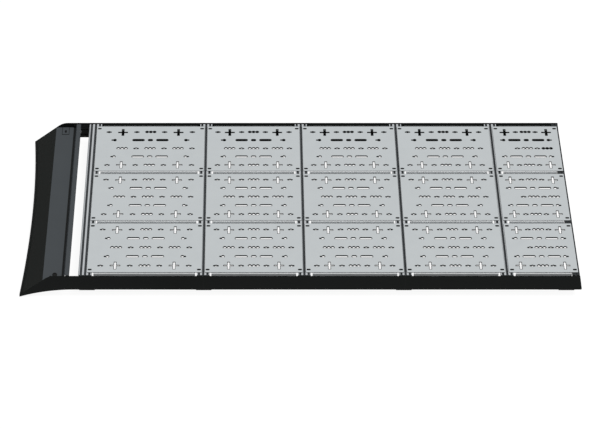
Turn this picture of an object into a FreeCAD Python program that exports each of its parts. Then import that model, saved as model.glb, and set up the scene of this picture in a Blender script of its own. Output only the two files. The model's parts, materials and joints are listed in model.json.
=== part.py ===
"""Modular van roof rack: slotted deck panels on T-slot crossbars between two side rails,
with a folded wind fairing at the front.

Frame: +X to the rear of the vehicle, +Y to its right, +Z up. The origin is on the plane the
foot gaskets stand on, in the middle of the rack's length and width. Millimetres.
"""
import FreeCAD
import Part
import math
import os
from FreeCAD import Vector

# ---------------------------------------------------------------- deck panels
deck_top = 220.0            # upper face of the deck above the foot gaskets' lower face
sheet = 4.0                 # deck panel sheet
panel_bend = 8.0            # inside radius of the panels' bends
panel_width = 502.0         # across the vehicle
panel_flange = 46.0         # depth of a panel's folded long edges
flange_cutback = 47.0       # flanges stop this far from a panel's ends, to clear the crossbar
first_panel = 809.0         # panel lengths along the vehicle
middle_panel = 690.2
last_panel = 488.0
middle_columns = 3
panel_rows = 3
row_gap = 13.0              # between the rows of panels, for a strap on edge
end_gap = 21.0              # between panel ends, over a crossbar's middle slot
last_end_gap = 27.0         # ahead of the last column, which is set back a little more

# ---------------------------------------------------------------- cut-outs in the panels
slot_row_pitch = 88.9       # five rows of cut-outs, across the vehicle
first_pitch = 104.0         # their column pitch along the vehicle, by panel length
middle_pitch = 88.9
last_pitch = 77.3
slim_width = 13.0           # width of a plain slot
dash_length = 38.0
long_length = 95.0
triple_length = 83.0
triple_width = 16.0
plus_span = 74.0
plus_arm = 18.0
keyhole_length = 41.0
first_keyhole = 272.0       # keyhole places from a panel's middle, by panel length
middle_keyhole = 222.0
last_keyhole = 175.0
bolt_slot_length = 24.0     # corner slots for the panel bolts
bolt_slot_width = 9.0
bolt_from_end = 20.0
last_bolt_from_end = 23.0   # on the last panels, whose rear crossbar is narrower
bolt_from_left = 31.5       # bolts from a panel's left and right edges
bolt_from_right = 36.5

# ---------------------------------------------------------------- crossbars
bar_width = 90.0
bar_height = 30.0
bar_slot_pitch = 30.0
rear_bar_width = 50.0       # the rear crossbar is narrower, with one slot above and below
rear_bar_reach = 8.0        # it shows this much past the last panels
t_opening = 8.2             # T-slot: mouth, lip, chamber width and depth under the face
t_lip = 2.5
t_chamber = 13.5
t_depth = 7.0
bar_core = 9.0              # square hollow chambers between the T-slots

# ---------------------------------------------------------------- side rails
rail_span = 1594.0          # outer face to outer face
rail_drop = 3.0             # rail's top edge below the deck's upper face
rail_height = 136.5
rail_skin = 3.5             # outer wall, which stands above the ledge as a lip
rail_web = 12.5             # outer face to the inner face that carries the T-slots
lip_height = 14.0
rail_flange = 70.0          # lower flange, turned inwards
rail_flange_thickness = 5.0
upper_slot_drop = 60.0      # T-slot centre lines below the deck's upper face
lower_slot_drop = 108.0
rail_past_deck = 9.0        # the rail's top edge ends behind the last panel
rail_tail = 26.0            # the rear end slants this much rearwards from top to bottom
rail_seam = 1.5             # gap between two lengths of rail
tail_corner = 8.0

# ---------------------------------------------------------------- wind fairing
front_opening = 69.0        # open slot between the fairing and the first crossbar
strip_width = 31.0          # fairing's top strip, over the crossmember
strip_drop = 5.0            # below the deck's upper face
riser_run = 15.0            # steep step from the strip down to the tray
tray_drop = 46.0
tray_width = 141.0
face_run = 173.0            # sloping front face, from the tray to the nose tips
face_drop = 148.5
fairing_sheet = 3.0
fairing_bend = 3.0
strip_flange = 26.0         # turned-down rear edge of the strip
roof_arch = 52.5            # rise of the lower edge at the middle, along the sloping face
tip_height = 17.5           # blunt end of each nose cheek
nose_curve = 389.0          # length of the cheek's curved lower edge
nose_radius = 110.0         # where the cheek's slope meets the rail's level top edge
trim_width = 9.0            # rubber edge trim on the fairing's lower edge
trim_depth = 14.0
trim_bite = 8.0             # how far the sheet reaches into the trim
trim_inset = 9.0            # sheet's lower edge, up the face from the nose tips
crossmember_width = 22.0
crossmember_height = 30.0
crossmember_wall = 2.5
tab_length = 53.0           # plate bolted over the tray's right-hand end
tab_width = 80.0
tab_thickness = 3.0
tab_from_riser = 42.0
tab_bolt_inset = 52.0       # bolt from the cheek's inner face
grommet_radius = 17.5       # wiring grommets at the tray's left-hand end
small_grommet_radius = 10.5
grommet_wall = 5.0
grommet_height = 5.0
grommet_inset = 52.0        # from the cheek's inner face
small_grommet_inset = 29.0
grommet_from_riser = 58.0
small_grommet_from_riser = 86.0

# ---------------------------------------------------------------- brackets, feet and fasteners
bracket_leg = 50.0          # crossbar end brackets: equal angles
bracket_thickness = 5.0
bracket_length = 80.0
foot_length = 110.0
foot_thickness = 6.0
foot_bend = 2.5             # inside radius of a foot's bend
foot_base = 60.0
gasket = 3.0
gusset_thickness = 5.0
stud_slot_length = 30.0     # for the roof stud in each foot
stud_slot_width = 9.0
foot_bars = (0, 1, 3)       # crossbars with a foot under each end
rear_foot_inset = 60.0      # the last pair of feet, ahead of the deck's rear edge
foot_bolt_inset = 45.0      # from the rail's outer face
foot_top_inset = 12.0
stud_inset = 30.0           # roof stud from the foot's upright
splice_length = 200.0
tab_bracket_length = 60.0   # angle on the right cheek, under the tray and the tab
tab_bracket_reach = 75.0
left_bracket_length = 34.0  # shorter angle on the left cheek, clear of the grommets
left_bracket_reach = 36.0
left_bracket_from_fold = 24.0
left_bolt_inset = 20.0
cheek_bracket_drop = 40.0
cheek_bracket_thickness = 4.0
bolt_neck = 6.3             # square holes for the coach bolts' necks
foot_bolt_pitch = 70.0
bracket_bolt_pitch = 44.0
bracket_bolt_inset = 28.0
rear_bracket_length = 40.0
fit = 0.3                   # clearance beside pieces that are slid into place

# ---------------------------------------------------------------- derived places
half_span = rail_span / 2
cheek_inner = half_span - rail_skin
web_inner = half_span - rail_web
deck_under = deck_top - sheet
rail_top = deck_top - rail_drop
rail_bottom = rail_top - rail_height
ledge = rail_top - lip_height
bar_bottom = deck_under - bar_height
upper_slot = deck_top - upper_slot_drop
lower_slot = deck_top - lower_slot_drop

panel_lengths = [first_panel] + [middle_panel] * middle_columns + [last_panel]
end_gaps = [end_gap] * middle_columns + [last_end_gap]
deck_length = sum(panel_lengths) + sum(end_gaps)
bar_lead = bar_width / 2 + end_gap / 2
nose_length = face_run + tray_width + riser_run + strip_width + front_opening + bar_lead
tail_angle = math.atan2(rail_height, rail_tail)
tail_reach = rail_tail - tail_corner * (1 / math.tan(tail_angle / 2) - 1)
overall_length = nose_length + deck_length + rail_past_deck + tail_reach

tip_x = -overall_length / 2
fold_x = tip_x + face_run
riser_x = fold_x + tray_width
strip_x = riser_x + riser_run
opening_x = strip_x + strip_width
first_bar_x = opening_x + front_opening + bar_width / 2
deck_x = first_bar_x + end_gap / 2
deck_end = deck_x + deck_length
rail_end = deck_end + rail_past_deck

panel_starts = [deck_x]
for length, gap in zip(panel_lengths, end_gaps):
    panel_starts.append(panel_starts[-1] + length + gap)
bar_places = [start - gap / 2 for start, gap in zip(panel_starts, [end_gap] + end_gaps)]
bar_places.append(deck_end + rear_bar_reach - rear_bar_width / 2)
foot_places = [bar_places[number] for number in foot_bars] + [deck_end - rear_foot_inset]
seams = (bar_places[1], bar_places[3])      # rail joints, each beside a crossbar's centre line

strip_top = deck_top - strip_drop
tray_top = deck_top - tray_drop
face_end = tray_top - face_drop
face_slope = math.atan2(face_drop, face_run)
face_length = math.hypot(face_run, face_drop)
tip_bottom = face_end - tip_height
row_pitch = panel_width + row_gap


# ---------------------------------------------------------------- small helpers
def box(x0, x1, y0, y1, z0, z1):
    return Part.makeBox(x1 - x0, y1 - y0, z1 - z0, Vector(x0, y0, z0))


def loop(points):
    return Part.makePolygon(list(points) + [points[0]])


def prism(points, along):
    """Closed outline of points, extruded by the vector along."""
    return Part.Face(loop(points)).extrude(along)


def mirrored(shape):
    """The same piece on the other side of the vehicle."""
    return shape.mirror(Vector(0, 0, 0), Vector(0, 1, 0))


def save(name, shapes):
    solids = [solid for shape in shapes for solid in shape.Solids]
    whole = solids[0] if len(solids) == 1 else Part.makeCompound(solids)
    whole.exportStep("parts/" + name + ".step")
    print(name, len(solids), "solid(s)", round(sum(s.Volume for s in solids) / 1000), "cm3")


def fillet_path(points, radii):
    """Edges along points in the XZ or YZ plane, with a tangent arc at each inner point."""
    edges = []
    start = points[0]
    for before, corner, after, radius in zip(points, points[1:], points[2:], radii):
        back = (before - corner).normalize()
        ahead = (after - corner).normalize()
        half_turn = back.getAngle(ahead) / 2
        reach = radius / math.tan(half_turn)
        middle = (back + ahead).normalize()
        centre = corner + middle * (radius / math.sin(half_turn))
        enter = corner + back * reach
        leave = corner + ahead * reach
        edges.append(Part.makeLine(start, enter))
        edges.append(Part.Arc(enter, centre - middle * radius, leave).toShape())
        start = leave
    edges.append(Part.makeLine(start, points[-1]))
    return edges


def folded_sheet(points, normal, thickness, inside_radius, along):
    """Sheet metal folded along points, its thickness on the left of the path seen against
    normal, extruded by along."""
    sides = []
    for ahead, behind in zip(points[1:], points):
        sides.append(normal.cross((ahead - behind).normalize()))
    offset = [points[0] + sides[0] * thickness]
    for corner, left, right in zip(points[1:], sides, sides[1:]):
        offset.append(corner + (left + right) * (thickness / (1 + left.dot(right))))
    offset.append(points[-1] + sides[-1] * thickness)
    outer, inner = [], []
    for before, corner, after in zip(points, points[1:], points[2:]):
        turn = (corner - before).cross(after - corner).dot(normal)
        outer.append(inside_radius + (thickness if turn > 0 else 0))
        inner.append(inside_radius + (thickness if turn < 0 else 0))
    edges = fillet_path(points, outer)
    edges.append(Part.makeLine(points[-1], offset[-1]))
    edges += fillet_path(offset[::-1], inner[::-1])
    edges.append(Part.makeLine(offset[0], points[0]))
    return Part.Face(Part.Wire(Part.__sortEdges__(edges))).extrude(along)


def t_notch(face, centre, into, side):
    """Eight corners of a T-slot sunk from the point face + centre: into points into the
    metal, side along the face."""
    mouth, room = t_opening / 2, t_chamber / 2
    places = [(0, -mouth), (t_lip, -mouth), (t_lip, -room), (t_depth, -room),
              (t_depth, room), (t_lip, room), (t_lip, mouth), (0, mouth)]
    return [face + side * (centre + across) + into * depth for depth, across in places]


# ---------------------------------------------------------------- deck panels
def slot_outline(x, y, length, width):
    return [Vector(x - length / 2, y - width / 2), Vector(x + length / 2, y - width / 2),
            Vector(x + length / 2, y + width / 2), Vector(x - length / 2, y + width / 2)]


def plus_outline(x, y):
    reach, arm = plus_span / 2, plus_arm / 2
    quarter = [(reach, -arm), (reach, arm), (arm, arm)]
    corners = []
    for turn in range(4):
        for a, b in quarter:
            for _ in range(turn):
                a, b = -b, a
            corners.append(Vector(x + a, y + b))
    return corners


def cut_outs(pitch, keyhole, is_last):
    """Outlines of a panel's cut-outs about its middle."""
    shapes = []
    columns = (-2, -1, 0, 1, 2) if is_last else (-3, -2, -1, 0, 1, 2, 3)
    outer_row = "pdtdp" if is_last else "dpdtdpd"
    for row in (-2, 2):
        for column, kind in zip(columns, outer_row):
            x, y = column * pitch, row * slot_row_pitch
            if kind == "p":
                shapes.append(plus_outline(x, y))
            elif kind == "t":
                shapes.append(slot_outline(x, y, triple_length, triple_width))
            else:
                shapes.append(slot_outline(x, y, dash_length, slim_width))
    for row in (-1, 1):
        y = row * slot_row_pitch
        shapes.append(slot_outline(0, y, dash_length, slim_width))
        for side in (-1, 1):
            shapes.append(slot_outline(side * middle_pitch, y, long_length, slim_width))
            shapes.append(slot_outline(side * keyhole, y, keyhole_length, slim_width))
    middle_columns_used = (-1, 0, 1, 2) if is_last else (-2, -1, 0, 1, 2, 3)
    for place, column in enumerate(middle_columns_used):
        is_triple = place % 2 == (1 if is_last else 0)
        length, width = (triple_length, triple_width) if is_triple else (dash_length, slim_width)
        shapes.append(slot_outline(column * pitch, 0, length, width))
    return shapes


def deck_panel(length, pitch, keyhole, is_last=False):
    """A panel about its middle: flat ends on the crossbars, folded flanges between them."""
    half_length, half_width = length / 2, panel_width / 2
    low = deck_top - panel_flange
    start = -half_length + flange_cutback
    path = [Vector(start, half_width, low), Vector(start, half_width, deck_top),
            Vector(start, -half_width, deck_top), Vector(start, -half_width, low)]
    along = Vector(length - 2 * flange_cutback, 0, 0)
    panel = folded_sheet(path, Vector(1, 0, 0), sheet, panel_bend, along)
    flat = half_width - panel_bend - sheet
    for side in (-1, 1):
        inner, outer = sorted((side * (half_length - flange_cutback), side * half_length))
        panel = panel.fuse(box(inner, outer, -flat, flat, deck_under, deck_top))
    outlines = cut_outs(pitch, keyhole, is_last)
    bolt_x = half_length - (last_bolt_from_end if is_last else bolt_from_end)
    for x in (-bolt_x, bolt_x):
        for y in (bolt_from_left - half_width, half_width - bolt_from_right):
            outlines.append(slot_outline(x, y, bolt_slot_length, bolt_slot_width))
    lift = Vector(0, 0, deck_under - 1)
    cutters = [prism([p + lift for p in outline], Vector(0, 0, sheet + 2)) for outline in outlines]
    return panel.cut(Part.makeCompound(cutters)).removeSplitter()


# ---------------------------------------------------------------- crossbars
def crossbar(width, slots):
    """T-slot extrusion about its middle, with slots above and below and one on each side."""
    top, low = deck_under, bar_bottom
    half = width / 2
    y = -web_inner + fit
    right, up = Vector(1, 0, 0), Vector(0, 0, 1)
    steps = [(number - (slots - 1) / 2) * bar_slot_pitch for number in range(slots)]
    outline = []
    for step in steps:
        outline += t_notch(Vector(0, y, low), step, up, right)
    outline.append(Vector(half, y, low))
    outline += t_notch(Vector(half, y, low), bar_height / 2, -right, up)
    outline.append(Vector(half, y, top))
    for step in steps:
        outline += t_notch(Vector(0, y, top), step, -up, -right)
    outline.append(Vector(-half, y, top))
    outline += t_notch(Vector(-half, y, top), bar_height / 2, right, -up)
    outline.append(Vector(-half, y, low))
    bar = prism(outline, Vector(0, -2 * y, 0))
    middle = (top + low) / 2
    for before, after in zip(steps, steps[1:]):
        x = (before + after) / 2
        bar = bar.cut(box(x - bar_core / 2, x + bar_core / 2, y, -y, middle - bar_core / 2,
                          middle + bar_core / 2))
    return bar


# ---------------------------------------------------------------- side rails
def rail_run(x0, x1):
    """Right-hand rail extrusion from x0 to x1, with its lip, ledge, T-slots and flange."""
    outward, down = Vector(0, 1, 0), Vector(0, 0, -1)
    shelf = rail_bottom + rail_flange_thickness
    outline = [Vector(x0, half_span, rail_bottom), Vector(x0, half_span, rail_top),
               Vector(x0, cheek_inner, rail_top), Vector(x0, cheek_inner, ledge),
               Vector(x0, web_inner, ledge)]
    for slot in (upper_slot, lower_slot):
        outline += t_notch(Vector(x0, web_inner, ledge), ledge - slot, outward, down)
    outline += [Vector(x0, web_inner, shelf), Vector(x0, half_span - rail_flange, shelf),
                Vector(x0, half_span - rail_flange, rail_bottom)]
    rail = prism(outline, Vector(x1 - x0, 0, 0))
    holes = [bolt_hole(seat, Vector(0, 0, -1), rail_flange_thickness)
             for place in foot_places for seat in foot_bolt_seats(place) if x0 < seat.x < x1]
    return rail.cut(holes)


def cheek():
    """Nose plate of the right-hand rail: sloped and blended above, curved below."""
    y = cheek_inner
    curve_end = tip_x + nose_curve
    corner_x = tip_x + (rail_top - face_end) / math.tan(face_slope)
    top = [Vector(tip_x, y, face_end), Vector(corner_x, y, rail_top),
           Vector(curve_end, y, rail_top)]
    edges = fillet_path(top, [nose_radius])
    drop = rail_bottom - tip_bottom
    radius = (nose_curve ** 2 + drop ** 2) / (2 * drop)
    half_turn = math.asin(nose_curve / radius) / 2
    low = Vector(curve_end, y, rail_bottom)
    middle = low - Vector(radius * math.sin(half_turn), 0, radius * (1 - math.cos(half_turn)))
    tip = Vector(tip_x, y, tip_bottom)
    edges.append(Part.makeLine(top[-1], low))
    edges.append(Part.Arc(low, middle, tip).toShape())
    edges.append(Part.makeLine(tip, top[0]))
    wire = Part.Wire(Part.__sortEdges__(edges))
    return Part.Face(wire).extrude(Vector(0, rail_skin, 0))


def front_rail():
    rail = rail_run(riser_x, seams[0] - rail_seam / 2).fuse(cheek())
    clear = box(riser_x - 1, first_bar_x - bar_width / 2, half_span - rail_flange - 1, web_inner,
                rail_bottom - 1, rail_bottom + rail_flange_thickness)
    return rail.cut(clear).removeSplitter()


def rear_rail():
    """Last length of the rail, its end slanted with a rounded lower corner."""
    rail = rail_run(seams[1] + rail_seam / 2, rail_end + rail_tail)
    y = half_span - rail_flange - 1
    above = Vector(rail_end, y, rail_top)
    below = Vector(rail_end + rail_tail, y, rail_bottom)
    edges = fillet_path([above, below, Vector(rail_end - rail_tail, y, rail_bottom)],
                        [tail_corner])
    edges.append(Part.makeLine(edges[-1].Vertexes[-1].Point, above))
    keep = Part.Face(Part.Wire(Part.__sortEdges__(edges))).extrude(
        Vector(0, rail_flange + 2, 0))
    keep = keep.fuse(box(seams[1] - 1, rail_end, y, half_span + 1, rail_bottom - 1, rail_top + 1))
    return rail.common(keep).removeSplitter()


def splice_bar(seam):
    """Joining bar in the rail's lower T-slot, across a seam."""
    half = splice_length / 2
    reach = t_chamber / 2 - fit
    return box(seam - half, seam + half, web_inner + t_lip + fit, web_inner + t_depth - fit,
               lower_slot - reach, lower_slot + reach)


# ---------------------------------------------------------------- holes for coach bolts
def bolt_hole(seat, into, depth):
    """Square hole for a bolt's neck, from its seat through the metal."""
    across = into.cross(Vector(1, 0, 0)) * (bolt_neck / 2)
    along = Vector(bolt_neck / 2, 0, 0)
    start = seat - into
    return prism([start - along - across, start + along - across, start + along + across,
                  start - along + across], into * (depth + 2))


# ---------------------------------------------------------------- brackets under the bars
def end_bracket(centre, top, length, offsets):
    """Right-hand angle bracket: one leg under a bar, bolted up into its slots at the offsets,
    the other on the rail's inner face."""
    x0, x1 = centre - length / 2, centre + length / 2
    inner = web_inner - bracket_thickness
    leg = box(x0, x1, web_inner - bracket_leg, web_inner, top - bracket_thickness, top)
    wall = box(x0, x1, inner, web_inner, top - bracket_leg, top)
    holes = [bolt_hole(Vector(centre + x, web_inner - bracket_bolt_inset,
                              top - bracket_thickness), Vector(0, 0, 1), bracket_thickness)
             for x in offsets]
    reach = bracket_bolt_pitch / 2 if len(offsets) > 1 else 0
    for x in sorted({-reach, reach}):
        holes.append(bolt_hole(Vector(centre + x, inner, upper_slot), Vector(0, 1, 0),
                               bracket_thickness))
    return leg.fuse(wall).removeSplitter().cut(holes)


# ---------------------------------------------------------------- feet
upright = half_span - rail_flange


def mounting_foot(centre):
    """Right-hand Z-shaped foot: under the rail's flange above, slotted for a roof stud below."""
    x0 = centre - foot_length / 2
    floor = gasket + foot_thickness
    path = [Vector(x0, half_span - foot_top_inset, rail_bottom),
            Vector(x0, upright, rail_bottom),
            Vector(x0, upright, floor), Vector(x0, upright - foot_base, floor)]
    foot = folded_sheet(path, Vector(1, 0, 0), foot_thickness, foot_bend,
                        Vector(foot_length, 0, 0))
    rib = [Vector(x0, upright, floor), Vector(x0, upright - foot_base + foot_thickness, floor),
           Vector(x0, upright, rail_bottom - 2 * foot_thickness)]
    for shift in (0, foot_length - gusset_thickness):
        moved = [p + Vector(shift, 0, 0) for p in rib]
        foot = foot.fuse(prism(moved, Vector(gusset_thickness, 0, 0)))
    holes = [bolt_hole(seat, Vector(0, 0, -1), rail_flange_thickness + foot_thickness)
             for seat in foot_bolt_seats(centre)]
    return foot.removeSplitter().cut(holes + [stud_slot(centre, gasket, foot_thickness)])


def stud_slot(centre, low, thickness):
    """Round-ended slot for the roof stud, through a plate whose lower face is at low."""
    radius = stud_slot_width / 2
    reach = stud_slot_length / 2 - radius
    y = upright - stud_inset
    slot = box(centre - reach, centre + reach, y - radius, y + radius, low - 1,
               low + thickness + 1)
    for x in (centre - reach, centre + reach):
        slot = slot.fuse(Part.makeCylinder(radius, thickness + 2, Vector(x, y, low - 1)))
    return slot


def foot_bolt_seats(centre):
    shelf = rail_bottom + rail_flange_thickness
    return [Vector(centre + side * foot_bolt_pitch / 2, half_span - foot_bolt_inset, shelf)
            for side in (-1, 1)]


def foot_gasket(centre):
    pad = box(centre - foot_length / 2, centre + foot_length / 2, upright - foot_base, upright,
              0, gasket)
    y = upright - stud_inset
    return pad.cut(box(centre - stud_slot_length / 2, centre + stud_slot_length / 2,
                       y - stud_slot_width / 2, y + stud_slot_width / 2, -1, gasket + 1))


# ---------------------------------------------------------------- wind fairing
def face_frame():
    """Where the sheet's edge would meet the centre line if it ran straight across between the
    cheeks, then up the slope, then out of the face."""
    up_slope = Vector(math.cos(face_slope), 0, math.sin(face_slope))
    outwards = Vector(-math.sin(face_slope), 0, math.cos(face_slope))
    return Vector(tip_x, 0, face_end) + up_slope * trim_inset, up_slope, outwards


def fairing_skin():
    """One folded sheet: turned-down rear edge, top strip, riser, tray and arched front face."""
    y = cheek_inner - fit
    path = [Vector(opening_x, -y, strip_top - strip_flange), Vector(opening_x, -y, strip_top),
            Vector(strip_x, -y, strip_top), Vector(riser_x, -y, tray_top),
            Vector(fold_x, -y, tray_top), Vector(tip_x, -y, face_end)]
    skin = folded_sheet(path, Vector(0, -1, 0), fairing_sheet, fairing_bend, Vector(0, 2 * y, 0))
    middle, up_slope, outwards = face_frame()
    across = Vector(0, 1, 0)
    left, right = middle - across * cheek_inner, middle + across * cheek_inner
    edges = [Part.Arc(left, middle + up_slope * roof_arch, right).toShape()]
    below = up_slope * -2 * roof_arch
    corners = [right, right + below, left + below, left]
    edges += [Part.makeLine(a, b) for a, b in zip(corners, corners[1:])]
    arch = Part.Face(Part.Wire(edges))
    arch.translate(outwards * -5 * fairing_sheet)
    cutters = [arch.extrude(outwards * 10 * fairing_sheet)]
    for side in (-1, 1):
        y0, y1 = sorted((side * (web_inner - fit), side * half_span))
        cutters.append(box(riser_x - fairing_sheet, opening_x + 1, y0, y1, tray_top + fairing_bend,
                           deck_top))
        cutters.append(box(riser_x, opening_x + 1, y0, y1, rail_bottom, deck_top))
    return skin.cut(cutters)


def edge_trim():
    """Rubber channel on the fairing's arched lower edge, swept round the same arc."""
    middle, up_slope, outwards = face_frame()
    radius = (cheek_inner ** 2 + roof_arch ** 2) / (2 * roof_arch)
    centre = middle + up_slope * (roof_arch - radius)
    sheet_middle = outwards * (-fairing_sheet / 2)
    half, groove = trim_width / 2, fairing_sheet / 2 + fit / 3
    section = [(trim_bite, half), (trim_bite, groove), (0, groove), (0, -groove),
               (trim_bite, -groove), (trim_bite, -half), (trim_bite - trim_depth, -half),
               (trim_bite - trim_depth, half)]
    turn = math.degrees(math.asin(cheek_inner / radius)) + 1
    face = Part.Face(loop([centre + sheet_middle + up_slope * (radius + a) + outwards * b
                           for a, b in section]))
    face.rotate(centre, outwards, -turn)
    trim = face.revolve(centre, outwards, 2 * turn)
    y = cheek_inner - fit
    deep = 2 * face_drop
    return trim.common(box(tip_x - deep, fold_x, -y, y, tip_bottom - deep, deck_top))


member_x = opening_x - fairing_sheet - crossmember_width / 2
member_bottom = strip_top - fairing_sheet - crossmember_height


def crossmember():
    """Rectangular tube in the angle of the fairing's top strip and its turned-down edge."""
    y, half, wall = web_inner - fit, crossmember_width / 2, crossmember_wall
    low, top = member_bottom, member_bottom + crossmember_height
    corner = fairing_bend + fit
    tube = box(member_x - half, member_x + half, -y, y, low, top)
    edges = [edge for edge in tube.Edges if abs(edge.tangentAt(edge.FirstParameter).y) > 0.9]
    tube = tube.makeFillet(corner, edges)
    bore = box(member_x - half + wall, member_x + half - wall, -y, y, low + wall, top - wall)
    holes = [bolt_hole(Vector(member_x, side * (web_inner - bracket_bolt_inset), low),
                       Vector(0, 0, 1), wall) for side in (-1, 1)]
    return tube.cut([bore] + holes)


tray_under = tray_top - fairing_sheet
tab_x = riser_x - tab_from_riser - tab_length / 2
tab_bolt_y = cheek_inner - tab_bolt_inset


def cheek_bracket(centre, length, reach, hole):
    """Right-hand unequal angle: one leg under the tray, the other on the cheek."""
    x0, x1 = centre - length / 2, centre + length / 2
    y = cheek_inner
    wall = cheek_bracket_thickness
    leg = box(x0, x1, y - reach, y, tray_under - wall, tray_under)
    side = box(x0, x1, y - wall, y, tray_under - cheek_bracket_drop, tray_under)
    return leg.fuse(side).removeSplitter().cut(hole)


def tray_hole(x, y, top):
    """Hole for a bolt that seats at top, through the tray and the bracket under it."""
    return bolt_hole(Vector(x, y, top), Vector(0, 0, -1),
                     top - tray_under + cheek_bracket_thickness)


def grommet(x, y, radius):
    """Blind rubber grommet: a rim above the tray, and a neck closed by a membrane that is cut
    through when a wire is led in."""
    bore = radius - grommet_wall
    neck = radius - grommet_wall / 2
    profile = [Vector(0, 0, tray_under), Vector(neck, 0, tray_under),
               Vector(neck, 0, tray_top), Vector(radius, 0, tray_top),
               Vector(radius - 1, 0, tray_top + grommet_height),
               Vector(bore, 0, tray_top + grommet_height),
               Vector(bore, 0, tray_top), Vector(0, 0, tray_top)]
    ring = Part.Face(loop(profile)).revolve(Vector(0, 0, 0), Vector(0, 0, 1), 360)
    ring.translate(Vector(x, y, 0))
    return ring


def grommet_hole(x, y, radius):
    return Part.makeCylinder(radius - grommet_wall / 2, fairing_sheet + 2,
                             Vector(x, y, tray_under - 1))


# ---------------------------------------------------------------- the assembly
def save_pair(name, pieces):
    """Right-hand pieces and their mirror images, as two nodes."""
    save(name + "_right", pieces)
    save(name + "_left", [mirrored(piece) for piece in pieces])


os.makedirs("parts", exist_ok=True)

panels = [deck_panel(first_panel, first_pitch, first_keyhole)]
panels += [deck_panel(middle_panel, middle_pitch, middle_keyhole)] * middle_columns
panels.append(deck_panel(last_panel, last_pitch, last_keyhole, True))
rows = ("left", "middle", "right")
for column, (panel, start, length) in enumerate(zip(panels, panel_starts, panel_lengths)):
    for row, name in enumerate(rows):
        place = Vector(start + length / 2, (row - 1) * row_pitch, 0)
        save("deck_panel_" + name + "_" + str(column + 1), [panel.translated(place)])

bars = [crossbar(bar_width, 3)] * (len(bar_places) - 1) + [crossbar(rear_bar_width, 1)]
for number, (bar, x) in enumerate(zip(bars, bar_places)):
    save("crossbar_" + str(number + 1), [bar.translated(Vector(x, 0, 0))])
slot_lines = (-bar_slot_pitch, bar_slot_pitch)
brackets = [end_bracket(x, bar_bottom, bracket_length, slot_lines) for x in bar_places[:-1]]
brackets.append(end_bracket(bar_places[-1], bar_bottom, rear_bracket_length, (0,)))
save_pair("crossbar_brackets", brackets)

save_pair("side_rail_front", [front_rail()])
save_pair("side_rail_middle", [rail_run(seams[0] + rail_seam / 2, seams[1] - rail_seam / 2)])
save_pair("side_rail_rear", [rear_rail()])
save_pair("splice_bars", [splice_bar(seam) for seam in seams])
save_pair("mounting_feet", [mounting_foot(place) for place in foot_places])
save_pair("foot_gaskets", [foot_gasket(place) for place in foot_places])

large = (riser_x - grommet_from_riser, grommet_inset - cheek_inner, grommet_radius)
small = (riser_x - small_grommet_from_riser, small_grommet_inset - cheek_inner,
         small_grommet_radius)
tab_hole = tray_hole(tab_x, tab_bolt_y, tray_top + tab_thickness)
left_x = fold_x + left_bracket_from_fold
left_hole = tray_hole(left_x, cheek_inner - left_bolt_inset, tray_top)
skin_holes = [tab_hole, mirrored(left_hole), grommet_hole(*large), grommet_hole(*small)]
tab = box(tab_x - tab_length / 2, tab_x + tab_length / 2, cheek_inner - fit - tab_width,
          cheek_inner - fit, tray_top, tray_top + tab_thickness)
save("fairing_skin", [fairing_skin().cut(skin_holes)])
save("fairing_edge_trim", [edge_trim()])
save("fairing_crossmember", [crossmember()])
save_pair("crossmember_bracket", [end_bracket(member_x, member_bottom, crossmember_width, (0,))])
save("cheek_bracket_right", [cheek_bracket(tab_x, tab_bracket_length, tab_bracket_reach,
                                           tab_hole)])
save("cheek_bracket_left", [mirrored(cheek_bracket(left_x, left_bracket_length,
                                                   left_bracket_reach, left_hole))])
save("fairing_tab", [tab.cut(tab_hole)])
save("wiring_grommet_large", [grommet(*large)])
save("wiring_grommet_small", [grommet(*small)])
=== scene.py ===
# Van roof rack: slotted deck panels on T-slot crossbars, black side rails, folded wind fairing.
# Sizes in the dictionaries are in millimetres. Meshes are made in metres, at their own places.
import json
import math

import bmesh
import bpy
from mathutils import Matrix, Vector

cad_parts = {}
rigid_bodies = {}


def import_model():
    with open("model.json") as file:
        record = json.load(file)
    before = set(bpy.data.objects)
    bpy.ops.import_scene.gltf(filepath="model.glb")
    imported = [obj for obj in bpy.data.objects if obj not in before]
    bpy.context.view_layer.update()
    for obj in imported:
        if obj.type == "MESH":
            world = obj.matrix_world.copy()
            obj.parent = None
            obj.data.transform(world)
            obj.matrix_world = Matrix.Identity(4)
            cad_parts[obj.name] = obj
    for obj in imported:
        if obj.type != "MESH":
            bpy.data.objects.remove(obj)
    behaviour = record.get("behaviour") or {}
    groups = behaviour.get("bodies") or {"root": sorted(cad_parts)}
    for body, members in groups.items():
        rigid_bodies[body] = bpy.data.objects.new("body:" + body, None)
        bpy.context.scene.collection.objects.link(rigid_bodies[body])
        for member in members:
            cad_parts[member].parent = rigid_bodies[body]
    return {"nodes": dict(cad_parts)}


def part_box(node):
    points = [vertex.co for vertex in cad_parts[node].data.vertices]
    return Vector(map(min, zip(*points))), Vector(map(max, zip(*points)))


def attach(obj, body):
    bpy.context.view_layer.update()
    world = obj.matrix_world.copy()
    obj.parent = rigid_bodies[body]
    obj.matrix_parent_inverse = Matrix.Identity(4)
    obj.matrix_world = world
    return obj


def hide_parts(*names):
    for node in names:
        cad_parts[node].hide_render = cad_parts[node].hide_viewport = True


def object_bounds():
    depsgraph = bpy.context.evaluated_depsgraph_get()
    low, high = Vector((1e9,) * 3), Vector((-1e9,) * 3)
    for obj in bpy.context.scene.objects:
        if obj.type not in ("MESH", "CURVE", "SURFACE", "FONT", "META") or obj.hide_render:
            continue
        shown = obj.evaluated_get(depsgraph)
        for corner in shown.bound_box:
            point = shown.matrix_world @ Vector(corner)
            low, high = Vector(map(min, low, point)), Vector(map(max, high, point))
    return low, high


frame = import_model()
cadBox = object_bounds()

mm = 0.001
print("frame:", len(frame["nodes"]), "nodes")


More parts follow.
